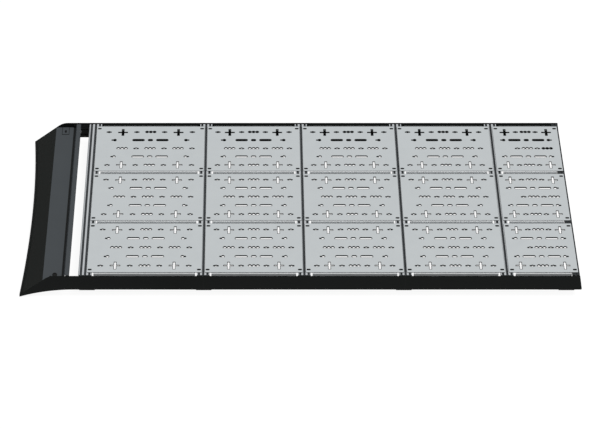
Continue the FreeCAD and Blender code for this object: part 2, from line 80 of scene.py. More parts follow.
# materials
def linearColour(hexCode):
    parts = [int(hexCode[i:i + 2], 16) / 255 for i in (1, 3, 5)]
    return [c / 12.92 if c <= 0.04045 else ((c + 0.055) / 1.055) ** 2.4 for c in parts] + [1.0]


def addNode(tree, kind, settings=None, inputs=None, links=None):
    node = tree.nodes.new(kind)
    for key, value in (settings or {}).items():
        setattr(node, key, value)
    for key, value in (inputs or {}).items():
        node.inputs[key].default_value = value
    for key, source in (links or {}).items():
        tree.links.new(source, node.inputs[key])
    return node


def finish(name, colour, roughness, metallic=0.0, specular=0.5, shade=0.0, shadeSize=60.0,
           stretch=(1, 1, 1), bump=0.0, bumpSize=3.0):
    # shade is the colour's uneven share over patches of shadeSize, bump the grain's depth in mm
    material = bpy.data.materials.new(name)
    material.use_nodes = True
    tree = material.node_tree
    shader = tree.nodes["Principled BSDF"]
    shader.inputs["Base Color"].default_value = linearColour(colour)
    shader.inputs["Roughness"].default_value = roughness
    shader.inputs["Metallic"].default_value = metallic
    shader.inputs["Specular IOR Level"].default_value = specular
    place = addNode(tree, "ShaderNodeTexCoord")
    if shade:
        turned = addNode(tree, "ShaderNodeMapping", inputs={"Scale": stretch},
                         links={"Vector": place.outputs["Object"]})
        patches = addNode(tree, "ShaderNodeTexNoise",
                          inputs={"Scale": 1 / (shadeSize * mm), "Detail": 3.0},
                          links={"Vector": turned.outputs["Vector"]})
        spread = addNode(tree, "ShaderNodeMapRange",
                         inputs={"From Min": 0.3, "From Max": 0.7,
                                 "To Min": 1 - shade, "To Max": 1 + shade},
                         links={"Value": patches.outputs["Fac"]})
        tinted = addNode(tree, "ShaderNodeMix", {"data_type": "RGBA", "blend_type": "MULTIPLY"})
        tinted.inputs["Factor"].default_value = 1.0
        tinted.inputs[6].default_value = linearColour(colour)
        tree.links.new(spread.outputs["Result"], tinted.inputs[7])
        tree.links.new(tinted.outputs[2], shader.inputs["Base Color"])
    if bump:
        grain = addNode(tree, "ShaderNodeTexNoise",
                        inputs={"Scale": 1 / (bumpSize * mm), "Detail": 2.0},
                        links={"Vector": place.outputs["Object"]})
        relief = addNode(tree, "ShaderNodeBump",
                         inputs={"Strength": 0.4, "Distance": bump * mm},
                         links={"Height": grain.outputs["Fac"]})
        tree.links.new(relief.outputs["Normal"], shader.inputs["Normal"])
    return material


finishes = {
    # blasted and clear anodised sheet: pale, even, a soft sheen and no mirror
    "anodisedSheet": finish("matt anodised aluminium sheet", "#c7ccce", 0.55, 0.15,
                            shade=0.015, shadeSize=90, bump=0.02),
    # walls of the laser-cut openings, and the bands and rims beside the cuts, painted near black: a
    # painted shade
    "cutEdgeShade": finish("laser-cut aluminium edge in painted shade", "#0f1011", 0.8, 0.1, 0.2),
    # painted highlight: the outer facets of a bend are painted brighter than the sheet, for the light
    # the bend catches
    "bendHighlight": finish("aluminium bend with a painted highlight", "#eef0f1", 0.45, 0.2, shade=0.01, shadeSize=90),
    # painted shade: the first facets of a bend are painted darker than the sheet
    "bendShadeLine": finish("anodised aluminium with a painted shade at the bend's start", "#3a3e41", 0.7, 0.2),
    # painted light: the flange is the panel's own sheet, painted lighter than the face so that its
    # side, which gets little light, looks lit
    "flangePaintedLight": finish("anodised aluminium flange, painted lighter", "#d6dadc", 0.55, 0.1, shade=0.02,
                         shadeSize=60, bump=0.02),
    # painted shade: the inside of each T-slot is painted darker than the bar
    "slotWallShade": finish("anodised aluminium in painted T-slot shade", "#44484b", 0.7, 0.2),
    # painted shade: the strips beside each slot mouth are painted near black
    "slotShadeBand": finish("aluminium slot lip in painted shade", "#2c2f31", 0.6, 0.2),
    # drawn along the bar, so its unevenness runs that way
    "naturalExtrusion": finish("natural anodised aluminium extrusion", "#ccd0d3", 0.42, 0.3,
                               shade=0.03, shadeSize=12, stretch=(1, 0.02, 1)),
    "blackExtrusion": finish("black anodised aluminium extrusion", "#2e3234", 0.45, 0.2,
                             shade=0.04, shadeSize=12, stretch=(1, 0.02, 1)),
    # fine-texture polyester powder: nearly no gloss, a faint grain
    "railCoat": finish("fine-texture black powder coat", "#0e1110", 0.75, specular=0.15,
                       shade=0.03, shadeSize=70, bump=0.05),
    # its colour is the greyer tone behind the fold, a painted light on the up-facing tray; the face's
    # darker tone is painted below
    "fairingCoat": finish("satin black powder coat", "#474b4e", 0.65, specular=0.1,
                          shade=0.02, shadeSize=120, bump=0.03),
    "edgeRubber": finish("extruded EPDM rubber", "#151616", 0.8, specular=0.3),
    "greyRubber": finish("grey TPE strip", "#8a8e91", 0.8, specular=0.2),
    "footCoat": finish("black powder coat on steel", "#242626", 0.6, specular=0.3, bump=0.05),
    "millAngle": finish("mill-finish aluminium angle", "#a9adb0", 0.4, 0.6,
                        shade=0.04, shadeSize=10, stretch=(0.05, 1, 1)),
    "blackFastener": finish("black oxide steel", "#17191a", 0.5, 0.4),
    "zincFastener": finish("bright zinc-plated steel", "#b4b7b8", 0.3, 0.9),
}

# painted light and shade: the fairing's face ahead of the fold is painted deep black and the coat
# behind it greyer, for how the light falls on the steep face and the up-facing tray
fairingSizes = {"faceRun": 173.0, "riserFromTip": 314.0, "foldBlend": 1.0}


def colourAheadOf(material, x, colour):
    blend = fairingSizes["foldBlend"] / 2 * mm
    tree = material.node_tree
    shader = tree.nodes["Principled BSDF"]
    behind = shader.inputs["Base Color"].links[0].from_socket
    place = addNode(tree, "ShaderNodeTexCoord")
    apart = addNode(tree, "ShaderNodeSeparateXYZ", links={"Vector": place.outputs["Object"]})
    share = addNode(tree, "ShaderNodeMapRange",
                    inputs={"From Min": x - blend, "From Max": x + blend},
                    links={"Value": apart.outputs["X"]})
    both = addNode(tree, "ShaderNodeMix", {"data_type": "RGBA"})
    both.inputs[6].default_value = linearColour(colour)
    tree.links.new(behind, both.inputs[7])
    tree.links.new(share.outputs["Result"], both.inputs["Factor"])
    tree.links.new(both.outputs[2], shader.inputs["Base Color"])


colourAheadOf(finishes["fairingCoat"],
              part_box("side_rail_front_right")[0].x + fairingSizes["faceRun"] * mm, "#181b19")

nodeFinishes = {
    "crossbar_6": "blackExtrusion", "crossbar_brackets": "millAngle",
    "crossbar_": "naturalExtrusion", "side_rail": "railCoat", "splice_bars": "millAngle",
    "fairing_skin": "fairingCoat", "fairing_tab": "fairingCoat",
    "fairing_edge_trim": "edgeRubber", "fairing_crossmember": "millAngle",
    "crossmember_bracket": "millAngle", "cheek_bracket": "millAngle",
    "wiring_grommet": "edgeRubber", "foot_gaskets": "edgeRubber",
    "mounting_feet": "footCoat", "deck_panel": "anodisedSheet",
}
for nodeName, shown in frame["nodes"].items():
    known = next(key for key in nodeFinishes if nodeName.startswith(key))
    shown.data.materials.clear()
    shown.data.materials.append(finishes[nodeFinishes[known]])
print("finishes:", len(finishes))


# outlines of the cut-outs, each about its own middle
def arcPoints(x, y, radius, start, end, steps):
    turns = [math.radians(start + (end - start) * k / steps) for k in range(steps + 1)]
    return [(x + radius * math.cos(t), y + radius * math.sin(t)) for t in turns]


def roundSlot(length, width, steps=8):
    reach = (length - width) / 2
    return (arcPoints(reach, 0, width / 2, -90, 90, steps)
            + arcPoints(-reach, 0, width / 2, 90, 270, steps))


def lobedSlot(length, width, lobes, lobeWidth, lobePitch, steps=6):
    # a slim slot with round lobes along it, drawn once round
    radius, half = lobeWidth / 2, width / 2
    bite = math.degrees(math.asin(half / radius))
    places = [(k - (lobes - 1) / 2) * lobePitch for k in range(lobes)]
    reach = length / 2 - half
    upper = [arcPoints(x, 0, radius, bite, 180 - bite, steps) for x in reversed(places)]
    lower = [arcPoints(x, 0, radius, 180 + bite, 360 - bite, steps) for x in places]
    return (arcPoints(reach, 0, half, -90, 90, steps) + [p for lobe in upper for p in lobe]
            + arcPoints(-reach, 0, half, 90, 270, steps) + [p for lobe in lower for p in lobe])


def keyhole(length, tailWidth, headWidth, steps=10):
    # slim tail to -x, round head at +x
    radius, half = headWidth / 2, tailWidth / 2
    bite = math.degrees(math.asin(half / radius))
    head = length / 2 - radius
    return (arcPoints(head, 0, radius, bite - 180, 180 - bite, 2 * steps)
            + arcPoints(-length / 2 + half, 0, half, 90, 270, steps))


def plusShape(span, armAlong, armAcross, corner, steps=4):
    # the arms along the vehicle are slimmer than those across it
    reach = span / 2 - corner
    points = []
    for turn in (0, 90, 180, 270):
        half, other = armAlong / 2, armAcross / 2
        if turn % 180:
            half, other = other, half
        c, s = math.cos(math.radians(turn)), math.sin(math.radians(turn))
        quarter = (arcPoints(reach, -half + corner, corner, -90, 0, steps)
                   + arcPoints(reach, half - corner, corner, 0, 90, steps) + [(other, half)])
        points += [(x * c - y * s, x * s + y * c) for x, y in quarter]
    return points


cutOutSizes = {
    "dashLength": 36.5, "dashWidth": 8.0, "dashLobe": 16.5,
    "longLength": 88.5, "shortLength": 34.5, "slotWidth": 19.8,
    "tripleLength": 82.0, "tripleWidth": 6.5, "tripleLobe": 21.0, "triplePitch": 28.0,
    "keyholeLength": 35.0, "keyholeTail": 8.0, "keyholeHead": 21.5,
    "plusSpan": 67.5, "plusArmAlong": 7.5, "plusArmAcross": 13.5, "plusCorner": 3.0,
    "boltSlotLength": 23.5, "boltSlotWidth": 10.0,
    "rimWidth": 2.8,        # band beside each cut, painted dark: a painted shade round the opening
    # the plus shapes get a wider band of the same painted shade
    "plusRim": 3.6,
    "collarDepth": 5.0,     # turned-down lip under the rounded cut-outs
}
# how far each kind lies to the left of the middle of its row
cutOutOffsets = {"dash": 3.0, "triple": 1.4, "keyhole": 1.2, "longSlot": 1.2, "shortSlot": 1.2,
                 "plus": 3.9}


def cutOutOutlines(grow):
    c = cutOutSizes
    wide = 2 * grow
    plusGrow = grow * c["plusRim"] / c["rimWidth"]
    plusWide = 2 * plusGrow
    return [
        ("boltSlot", roundSlot(c["boltSlotLength"] + wide, c["boltSlotWidth"] + wide)),
        ("dash", lobedSlot(c["dashLength"] + wide, c["dashWidth"] + wide, 1,
                           c["dashLobe"] + wide, 0)),
        ("keyhole", keyhole(c["keyholeLength"] + wide, c["keyholeTail"] + wide,
                            c["keyholeHead"] + wide)),
        ("longSlot", roundSlot(c["longLength"] + wide, c["slotWidth"] + wide)),
        ("plus", plusShape(c["plusSpan"] + plusWide, c["plusArmAlong"] + plusWide,
                           c["plusArmAcross"] + plusWide, c["plusCorner"])),
        ("shortSlot", roundSlot(c["shortLength"] + wide, c["slotWidth"] + wide)),
        ("triple", lobedSlot(c["tripleLength"] + wide, c["tripleWidth"] + wide, 3,
                             c["tripleLobe"] + wide, c["triplePitch"])),
    ]


outlineOrder = [name for name, points in cutOutOutlines(0)]


def curveObject(name, points, collection):
    data = bpy.data.curves.new(name, "CURVE")
    data.dimensions = "3D"
    spline = data.splines.new("POLY")
    spline.points.add(len(points) - 1)
    for point, place in zip(spline.points, points):
        point.co = (place[0], place[1], 0, 1)
    spline.use_cyclic_u = True
    piece = bpy.data.objects.new(name, data)
    collection.objects.link(piece)
    return piece


def outlineCollection(name, grow):
    # the objects are named so that the collection lists them in the order of outlineOrder
    group = bpy.data.collections.new(name)
    bpy.context.scene.collection.children.link(group)
    for number, (label, points) in enumerate(cutOutOutlines(grow)):
        curveObject(name + str(number), [(x * mm, y * mm) for x, y in points], group)
    return group


openShapes = outlineCollection("openShapes", 0)
rimShapes = outlineCollection("rimShapes", cutOutSizes["rimWidth"])


def newTree(name, sockets):
    tree = bpy.data.node_groups.new(name, "GeometryNodeTree")
    tree.interface.new_socket("Geometry", in_out="OUTPUT", socket_type="NodeSocketGeometry")
    tree.interface.new_socket("Geometry", in_out="INPUT", socket_type="NodeSocketGeometry")
    for label, kind, value in sockets:
        socket = tree.interface.new_socket(label, in_out="INPUT", socket_type="NodeSocket" + kind)
        if value is not None:
            socket.default_value = value
    return tree, tree.nodes.new("NodeGroupInput"), tree.nodes.new("NodeGroupOutput")


def slottedSheetTree():
    # points that carry a cut-out's number and turn become rimmed openings in a sheet
    tree, given, result = newTree("slotted sheet", [
        ("Sheet Outline", "Object", None), ("Inner Outline", "Object", None),
        ("Openings", "Collection", None), ("Rims", "Collection", None),
        ("Under Face Height", "Float", 0.2), ("Thickness", "Float", 0.004),
        ("Collar Depth", "Float", 0.004), ("Face Finish", "Material", None),
        ("Cut Finish", "Material", None)])
    number = addNode(tree, "GeometryNodeInputNamedAttribute", {"data_type": "INT"},
                     {"Name": "cutOut"})
    turn = addNode(tree, "GeometryNodeInputNamedAttribute", {"data_type": "FLOAT_VECTOR"},
                   {"Name": "turn"})

    collared = addNode(tree, "GeometryNodeInputNamedAttribute", {"data_type": "INT"},
                       {"Name": "collared"})

    def rings(label, chosen=None):
        shapes = addNode(tree, "GeometryNodeCollectionInfo", {"transform_space": "ORIGINAL"},
                         {"Separate Children": True, "Reset Children": True},
                         {"Collection": given.outputs[label]})
        placed = addNode(tree, "GeometryNodeInstanceOnPoints", inputs={"Pick Instance": True},
                         links={"Points": given.outputs["Geometry"],
                                "Instance": shapes.outputs["Instances"],
                                "Instance Index": number.outputs["Attribute"],
                                "Rotation": turn.outputs["Attribute"]})
        if chosen:
            tree.links.new(chosen.outputs["Attribute"], placed.inputs["Selection"])
        return addNode(tree, "GeometryNodeRealizeInstances",
                       links={"Geometry": placed.outputs["Instances"]}).outputs["Geometry"]

    def sheetLine(label):
        return addNode(tree, "GeometryNodeObjectInfo", {"transform_space": "ORIGINAL"},
                       links={"Object": given.outputs[label]}).outputs["Geometry"]

    def joined(parts):
        node = addNode(tree, "GeometryNodeJoinGeometry")
        for part in parts:
            tree.links.new(part, node.inputs["Geometry"])
        return node.outputs["Geometry"]

    def filledBetween(lines, finishLabel):
        # nested lines are filled by turns, so a second line inside the first leaves a band
        filled = addNode(tree, "GeometryNodeFillCurve", {"mode": "TRIANGLES"},
                         links={"Curve": joined(lines)})
        return addNode(tree, "GeometryNodeSetMaterial",
                       links={"Geometry": filled.outputs["Mesh"],
                              "Material": given.outputs[finishLabel]}).outputs["Geometry"]

    # the band between the two sheet outlines, the rims round the openings, the walls and the collars
    # all take the cut finish, a painted shade
    outer, inner = sheetLine("Sheet Outline"), sheetLine("Inner Outline")
    openings, rims = rings("Openings"), rings("Rims")
    flat = addNode(tree, "GeometryNodeMergeByDistance", inputs={"Distance": 1e-6},
                   links={"Geometry": joined([filledBetween([inner, rims], "Face Finish"),
                                              filledBetween([outer, inner, rims, openings],
                                                            "Cut Finish")])})

    def thickened(flatMesh, underFace, depth):
        # a filled curve lies on the ground plane, so it first goes up to its height
        height = addNode(tree, "ShaderNodeCombineXYZ", links={"Z": underFace})
        seated = addNode(tree, "GeometryNodeTransform",
                         links={"Geometry": flatMesh, "Translation": height.outputs["Vector"]})
        lift = addNode(tree, "ShaderNodeCombineXYZ", links={"Z": depth})
        raised = addNode(tree, "GeometryNodeExtrudeMesh", {"mode": "FACES"},
                         {"Individual": False, "Offset Scale": 1.0},
                         {"Mesh": seated.outputs["Geometry"], "Offset": lift.outputs["Vector"]})
        under = addNode(tree, "GeometryNodeFlipFaces", links={"Mesh": seated.outputs["Geometry"]})
        sealed = addNode(tree, "GeometryNodeMergeByDistance", inputs={"Distance": 1e-6},
                         links={"Geometry": joined([under.outputs["Mesh"],
                                                    raised.outputs["Mesh"]])})
        return sealed.outputs["Geometry"], raised.outputs["Side"]

    sheet, sides = thickened(flat.outputs["Geometry"], given.outputs["Under Face Height"],
                             given.outputs["Thickness"])
    foot = addNode(tree, "ShaderNodeMath", {"operation": "SUBTRACT"},
                   links={0: given.outputs["Under Face Height"],
                          1: given.outputs["Collar Depth"]})
    band = filledBetween([rings("Rims", collared), rings("Openings", collared)], "Cut Finish")
    collars = thickened(band, foot.outputs["Value"], given.outputs["Collar Depth"])[0]
    solid = addNode(tree, "GeometryNodeRealizeInstances",
                    links={"Geometry": joined([sheet, collars])})
    walls = addNode(tree, "GeometryNodeSetMaterial",
                    links={"Geometry": solid.outputs["Geometry"], "Selection": sides,
                           "Material": given.outputs["Cut Finish"]})
    tree.links.new(walls.outputs["Geometry"], result.inputs["Geometry"])
    return tree


def grownMesh(name, base, tree, values):
    # the tree's result on the base object, as a plain mesh; the base and modifier go
    modifier = base.modifiers.new(tree.name, "NODES")
    modifier.node_group = tree
    sockets = {item.name: item.identifier for item in tree.interface.items_tree
               if item.item_type == "SOCKET" and item.in_out == "INPUT"}
    for label, value in values.items():
        modifier[sockets[label]] = value
    bpy.context.view_layer.update()
    graph = bpy.context.evaluated_depsgraph_get()
    mesh = bpy.data.meshes.new_from_object(base.evaluated_get(graph))
    mesh.name = name
    base.modifiers.remove(modifier)
    bpy.data.objects.remove(base)
    return mesh


def pointObject(name, points, attributes=None):
    mesh = bpy.data.meshes.new(name)
    mesh.from_pydata(points, [], [])
    for label, (kind, values) in (attributes or {}).items():
        layer = mesh.attributes.new(label, kind, "POINT")
        for item, value in zip(layer.data, values):
            if kind == "FLOAT_VECTOR":
                item.vector = value
            else:
                item.value = value
    base = bpy.data.objects.new(name, mesh)
    bpy.context.scene.collection.objects.link(base)
    return base


def addPiece(name, mesh, replaced=()):
    piece = bpy.data.objects.new(name, mesh)
    bpy.context.scene.collection.objects.link(piece)
    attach(piece, "root")
    if replaced:
        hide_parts(*replaced)
    return piece


def finishIndex(mesh, finishName):
    material = finishes[finishName]
    if mesh.materials.find(material.name) < 0:
        mesh.materials.append(material)
    return mesh.materials.find(material.name)


def rectangleSection(u0, u1, v0, v1, finishName):
    return [(u, v, finishName) for u, v in ((u0, v0), (u1, v0), (u1, v1), (u0, v1))]


def alongX(along, u, v):
    return along, u, v


def alongY(along, u, v):
    return u, along, v


def addRun(mesh, section, start, end, place):
    # a closed section run from start to end; each of its points names the next face's finish
    work = bmesh.new()
    work.from_mesh(mesh)
    ends = [[work.verts.new(place(along, u, v)) for u, v, label in section]
            for along in (start, end)]
    count = len(section)
    faces = []
    for k in range(count):
        n = (k + 1) % count
        faces.append(work.faces.new((ends[0][k], ends[1][k], ends[1][n], ends[0][n])))
        faces[-1].material_index = finishIndex(mesh, section[k][2])
    for ring in (ends[0], ends[1][::-1]):
        faces.append(work.faces.new(ring))
        faces[-1].material_index = finishIndex(mesh, section[0][2])
    bmesh.ops.recalc_face_normals(work, faces=faces)
    work.to_mesh(mesh)
    work.free()


# deck panels
panelSizes = {
    "thickness": 4.0, "flangeDepth": 46.0, "flangeCutback": 47.0,
    # the bands are strips inside the plate's edges painted in the cut finish, a painted shade along
    # the panel's edges
    "cornerRadius": 6.0, "frontBand": 0.4, "rearBand": 1.0, "lastBand": 2.6, "sideBand": 0.6,
    "rowPitch": 89.8, "plusFromMiddle": 176.6, "longPitch": 88.9,
    "boltFromEnd": 20.0, "lastBoltFromEnd": 23.0, "boltFromLeft": 31.5, "boltFromRight": 36.5,
}
bendFacets = 8
# of a bend's facets the first are painted dark, a painted shade, and the next painted bright, a
# painted highlight; the panels at the left rail reach a little towards it
leftBends = {
    "left": {"radius": 5.0, "dark": 3, "bright": 7, "below": 0.5, "reach": 4.0},
    "middle": {"radius": 2.5, "dark": 3, "bright": 9, "below": 3.0, "reach": 0.0},
    "right": {"radius": 2.5, "dark": 3, "bright": 9, "below": 3.0, "reach": 0.0},
}
rightBend = {"radius": 8.0, "dark": 2, "bright": 6, "below": 0.5}
panelKinds = {      # by column: pitch along the panel, and where and which way the keyholes lie
    1: {"pitch": 104.0, "keyholes": (-272.0, 272.0), "tail": "out"},
    2: {"pitch": 88.9, "keyholes": (-225.0, 219.0), "tail": "left"},
    3: {"pitch": 88.9, "keyholes": (-225.0, 219.0), "tail": "left"},
    4: {"pitch": 88.9, "keyholes": (-225.0, 219.0), "tail": "left"},
    5: {"pitch": 74.0, "keyholes": (-176.0, 172.0), "tail": "out", "plus": 156.0},
}


def cutOutPlaces(column):
    kind = panelKinds[column]
    pitch, row = kind["pitch"], panelSizes["rowPitch"]
    isLast = column == 5
    names = {"p": "plus", "d": "dash", "t": "triple"}
    outer = "pdtdp" if isLast else "dpdtdpd"
    places = []
    for side in (-2, 2):
        for k, letter in enumerate(outer):
            step = k - (len(outer) - 1) / 2
            x, y = step * pitch, side * row
            if letter == "p":
                x = math.copysign(kind["plus"], step) if isLast else x
                y = math.copysign(panelSizes["plusFromMiddle"], side)
            places.append((names[letter], x, y, 0))
    for side in (-1, 1):
        places.append(("shortSlot", 0, side * row, 0))
        for end, keyholeX in zip((-1, 1), kind["keyholes"]):
            turned = math.pi if kind["tail"] == "out" and end > 0 else 0
            places.append(("longSlot", end * panelSizes["longPitch"], side * row, 0))
            places.append(("keyhole", keyholeX, side * row, turned))
    for k, step in enumerate((-1, 0, 1, 2) if isLast else (-2, -1, 0, 1, 2, 3)):
        isTriple = k % 2 == (1 if isLast else 0)
        places.append(("triple" if isTriple else "dash", step * pitch, 0, 0))
    return [(name, x, y - cutOutOffsets[name], turn) for name, x, y, turn in places]


def plateOutline(low, high, bend, frontInset=0, rearInset=0, sideInset=0):
    # the flat part of a panel, inside its bends
    s = panelSizes
    wall = (s["thickness"] + sideInset) * mm
    r = (s["cornerRadius"] - rearInset) * mm
    x0, x1 = low.x + frontInset * mm, high.x - rearInset * mm
    y0 = low.y + wall + (bend["radius"] - bend["reach"]) * mm
    y1 = high.y - wall - rightBend["radius"] * mm
    return (arcPoints(x1 - r, y0 + r, r, -90, 0, 4) + arcPoints(x1 - r, y1 - r, r, 0, 90, 4)
            + arcPoints(x0 + r, y1 - r, r, 90, 180, 4) + arcPoints(x0 + r, y0 + r, r, 180, 270, 4))


def flangeSection(side, edge, top, bend):
    # a quarter bend in facets and the web below it, seen along the panel
    t, inner = panelSizes["thickness"] * mm, bend["radius"] * mm
    outer = inner + t
    y, z = edge - side * outer, top - outer
    low = top - panelSizes["flangeDepth"] * mm
    turns = [math.radians(90 - 90 / bendFacets * k) for k in range(bendFacets + 1)]
    section = []
    for k, a in enumerate(turns):
        tag = "bendShadeLine" if k < bend["dark"] else "bendHighlight" if k < bend["bright"] else "flangePaintedLight"
        section.append((y + side * outer * math.cos(a), z + outer * math.sin(a), tag))
    section += [(edge, z - bend["below"] * mm, "flangePaintedLight"), (edge, low, "cutEdgeShade"),
                (edge - side * t, low, "flangePaintedLight")]
    section += [(y + side * inner * math.cos(a), z + inner * math.sin(a), "flangePaintedLight")
                for a in turns[::-1]]
    return section


sheetTree = slottedSheetTree()


def slottedPlate(name, places, outline, innerOutline, under, thickness, face):
    # places are (shape's name, x, y, turn) in metres
    layout = pointObject("layout", [(x, y, 0) for label, x, y, turn in places], {
        "cutOut": ("INT", [outlineOrder.index(p[0]) for p in places]),
        "collared": ("INT", [int(p[0] not in ("boltSlot", "plus")) for p in places]),
        "turn": ("FLOAT_VECTOR", [(0, 0, p[3]) for p in places])})
    lines = [curveObject("sheetLine", points, bpy.context.scene.collection)
             for points in (outline, innerOutline)]
    mesh = grownMesh(name, layout, sheetTree, {
        "Sheet Outline": lines[0], "Inner Outline": lines[1], "Openings": openShapes,
        "Rims": rimShapes, "Under Face Height": under, "Thickness": thickness,
        "Collar Depth": cutOutSizes["collarDepth"] * mm,
        "Face Finish": finishes[face], "Cut Finish": finishes["cutEdgeShade"]})
    for line in lines:
        bpy.data.objects.remove(line)
    return mesh


def boltPlaces(column, low, high):
    inset = panelSizes["lastBoltFromEnd" if column == 5 else "boltFromEnd"] * mm
    return [(x, y) for x in (low.x + inset, high.x - inset)
            for y in (low.y + panelSizes["boltFromLeft"] * mm,
                      high.y - panelSizes["boltFromRight"] * mm)]


def deckPanel(row, column):
    node = "deck_panel_" + row + "_" + str(column)
    low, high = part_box(node)
    middle = (low + high) / 2
    s = panelSizes
    places = [(label, middle.x + x * mm, middle.y + y * mm, turn)
              for label, x, y, turn in cutOutPlaces(column)]
    places += [("boltSlot", x, y, 0) for x, y in boltPlaces(column, low, high)]
    name = "deckPanel" + row.capitalize() + str(column)
    rearBand = s["lastBand" if column == 5 else "rearBand"]
    bend = leftBends[row]
    mesh = slottedPlate(name, places, plateOutline(low, high, bend),
                        plateOutline(low, high, bend, s["frontBand"], rearBand, s["sideBand"]),
                        high.z - s["thickness"] * mm, s["thickness"] * mm, "anodisedSheet")
    cut = s["flangeCutback"] * mm
    for side, edge, turned in ((-1, low.y - bend["reach"] * mm, bend), (1, high.y, rightBend)):
        addRun(mesh, flangeSection(side, edge, high.z, turned), low.x + cut, high.x - cut, alongX)
    return addPiece(name, mesh, [node])


rowNames = ("left", "middle", "right")
deck = [deckPanel(row, column) for row in rowNames for column in range(1, 6)]
print("deck panels:", len(deck), "with", sum(len(p.data.polygons) for p in deck), "faces")


# crossbars
barSizes = {
    "slotPitch": 30.0, "mouth": 8.2, "lip": 2.5, "chamber": 13.5, "depth": 7.0,
    "corner": 1.5, "slotShadeBand": 4.0,     # band beside each mouth, painted darker: a painted shade at the slot's lips
}


def slotProfile(middle, into, along, skin):
    # T-slot in a face, as points in the order that the face is walked; middle is on the face
    b = barSizes
    half, room = b["mouth"] / 2 * mm, b["chamber"] / 2 * mm
    lip, depth, band = b["lip"] * mm, b["depth"] * mm, b["slotShadeBand"] * mm
    steps = [(-half - band, 0, "slotShadeBand"), (-half, 0, "slotWallShade"), (-half, lip, "slotWallShade"),
             (-room, lip, "slotWallShade"), (-room, depth, "slotWallShade"), (room, depth, "slotWallShade"),
             (room, lip, "slotWallShade"), (half, lip, "slotWallShade"), (half, 0, "slotShadeBand"),
             (half + band, 0, skin)]
    return [(middle[0] + along[0] * a + into[0] * d, middle[1] + along[1] * a + into[1] * d, tag)
            for a, d, tag in steps]


def barSection(low, high, slots, skin):
    r = barSizes["corner"] * mm
    pitch = barSizes["slotPitch"] * mm
    x0, x1, z0, z1 = low.x, high.x, low.z, high.z
    middle, level = (x0 + x1) / 2, (z0 + z1) / 2
    steps = [middle + (k - (slots - 1) / 2) * pitch for k in range(slots)]
    section = []
    for x in steps:
        section += slotProfile((x, z0), (0, 1), (1, 0), skin)
    section += [(x, z, skin) for x, z in arcPoints(x1 - r, z0 + r, r, -90, 0, 3)]
    section += slotProfile((x1, level), (-1, 0), (0, 1), skin)
    section += [(x, z, skin) for x, z in arcPoints(x1 - r, z1 - r, r, 0, 90, 3)]
    for x in steps[::-1]:
        section += slotProfile((x, z1), (0, -1), (-1, 0), skin)
    section += [(x, z, skin) for x, z in arcPoints(x0 + r, z1 - r, r, 90, 180, 3)]
    section += slotProfile((x0, level), (1, 0), (0, -1), skin)
    section += [(x, z, skin) for x, z in arcPoints(x0 + r, z0 + r, r, 180, 270, 3)]
    return section


for number in range(1, 7):
    node = "crossbar_" + str(number)
    low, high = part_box(node)
    isRear = number == 6
    mesh = bpy.data.meshes.new("crossbar" + str(number))
    addRun(mesh, barSection(low, high, 1 if isRear else 3,
                            "blackExtrusion" if isRear else "naturalExtrusion"),
           low.y, high.y, alongY)
    addPiece("crossbar" + str(number), mesh,
             [node])
print("crossbars done")


# plate over the right-hand end of the fairing's tray
tabSizes = {"boltSlotFromInnerEdge": 32.0, "edgeShadeBand": 2.6}
low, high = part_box("fairing_tab")
# the band round the plate's edge takes the cut finish, a painted shade along its edges
band = tabSizes["edgeShadeBand"] * mm
tabMiddle = ((low.x + high.x) / 2, low.y + tabSizes["boltSlotFromInnerEdge"] * mm)


def rectangle(inset):
    return [(low.x + inset, low.y + inset), (high.x - inset, low.y + inset),
            (high.x - inset, high.y - inset), (low.x + inset, high.y - inset)]


mesh = slottedPlate("trayTab", [("boltSlot", tabMiddle[0], tabMiddle[1], math.pi / 2)],
                    rectangle(0), rectangle(band), low.z, high.z - low.z, "fairingCoat")
addPiece("trayTab", mesh, ["fairing_tab"])


# rubber between two lengths of side rail, level with their outer skin
seamSizes = {"skin": 3.5}
mesh = bpy.data.meshes.new("railSeams")
for before, after in (("front", "middle"), ("middle", "rear")):
    for hand in ("left", "right"):
        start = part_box("side_rail_" + before + "_" + hand)[1].x
        low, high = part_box("side_rail_" + after + "_" + hand)
        y0, y1 = ((low.y, low.y + seamSizes["skin"] * mm) if hand == "left"
                  else (high.y - seamSizes["skin"] * mm, high.y))
        addRun(mesh, rectangleSection(y0, y1, low.z, high.z, "edgeRubber"), start, low.x, alongX)
addPiece("railSeams", mesh)


# rubber strip pressed into the front T-slot of the first crossbar
frontStripSizes = {"proud": 3.8, "height": 12.0, "below": 1.0, "fromEnds": 6.0}


def frontStrip():
    s = frontStripSizes
    low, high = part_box("crossbar_1")
    mesh = bpy.data.meshes.new("frontStrip")
    top = high.z - s["below"] * mm
    section = rectangleSection(low.x - s["proud"] * mm, low.x, top - s["height"] * mm, top,
                               "greyRubber")
    addRun(mesh, section, low.y + s["fromEnds"] * mm, high.y - s["fromEnds"] * mm, alongY)
    return addPiece("frontStrip", mesh)


frontStrip()


# black strip where the tray turns up into the riser: a painted shade for the riser's shaded face
riserShadeStripSizes = {"ahead": 9.0, "past": 0.5, "foot": 174.2, "top": 176.5, "reach": 783.0}


def trayBead():
    s = riserShadeStripSizes
    mesh = bpy.data.meshes.new("trayBead")
    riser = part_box("side_rail_front_right")[0].x + fairingSizes["riserFromTip"] * mm
    x0, x1 = riser - s["ahead"] * mm, riser + s["past"] * mm
    section = rectangleSection(x0, x1, s["foot"] * mm, s["top"] * mm, "edgeRubber")
    addRun(mesh, section, -s["reach"] * mm, s["reach"] * mm, alongY)
    return addPiece("trayBead", mesh)


trayBead()


# moulded caps that close the rails' ledges where they meet the tray
ledgeCapSizes = {"length": 5.0, "inner": 785.0, "outer": 793.2, "foot": 174.2, "top": 203.0,
                 "clear": 0.1}


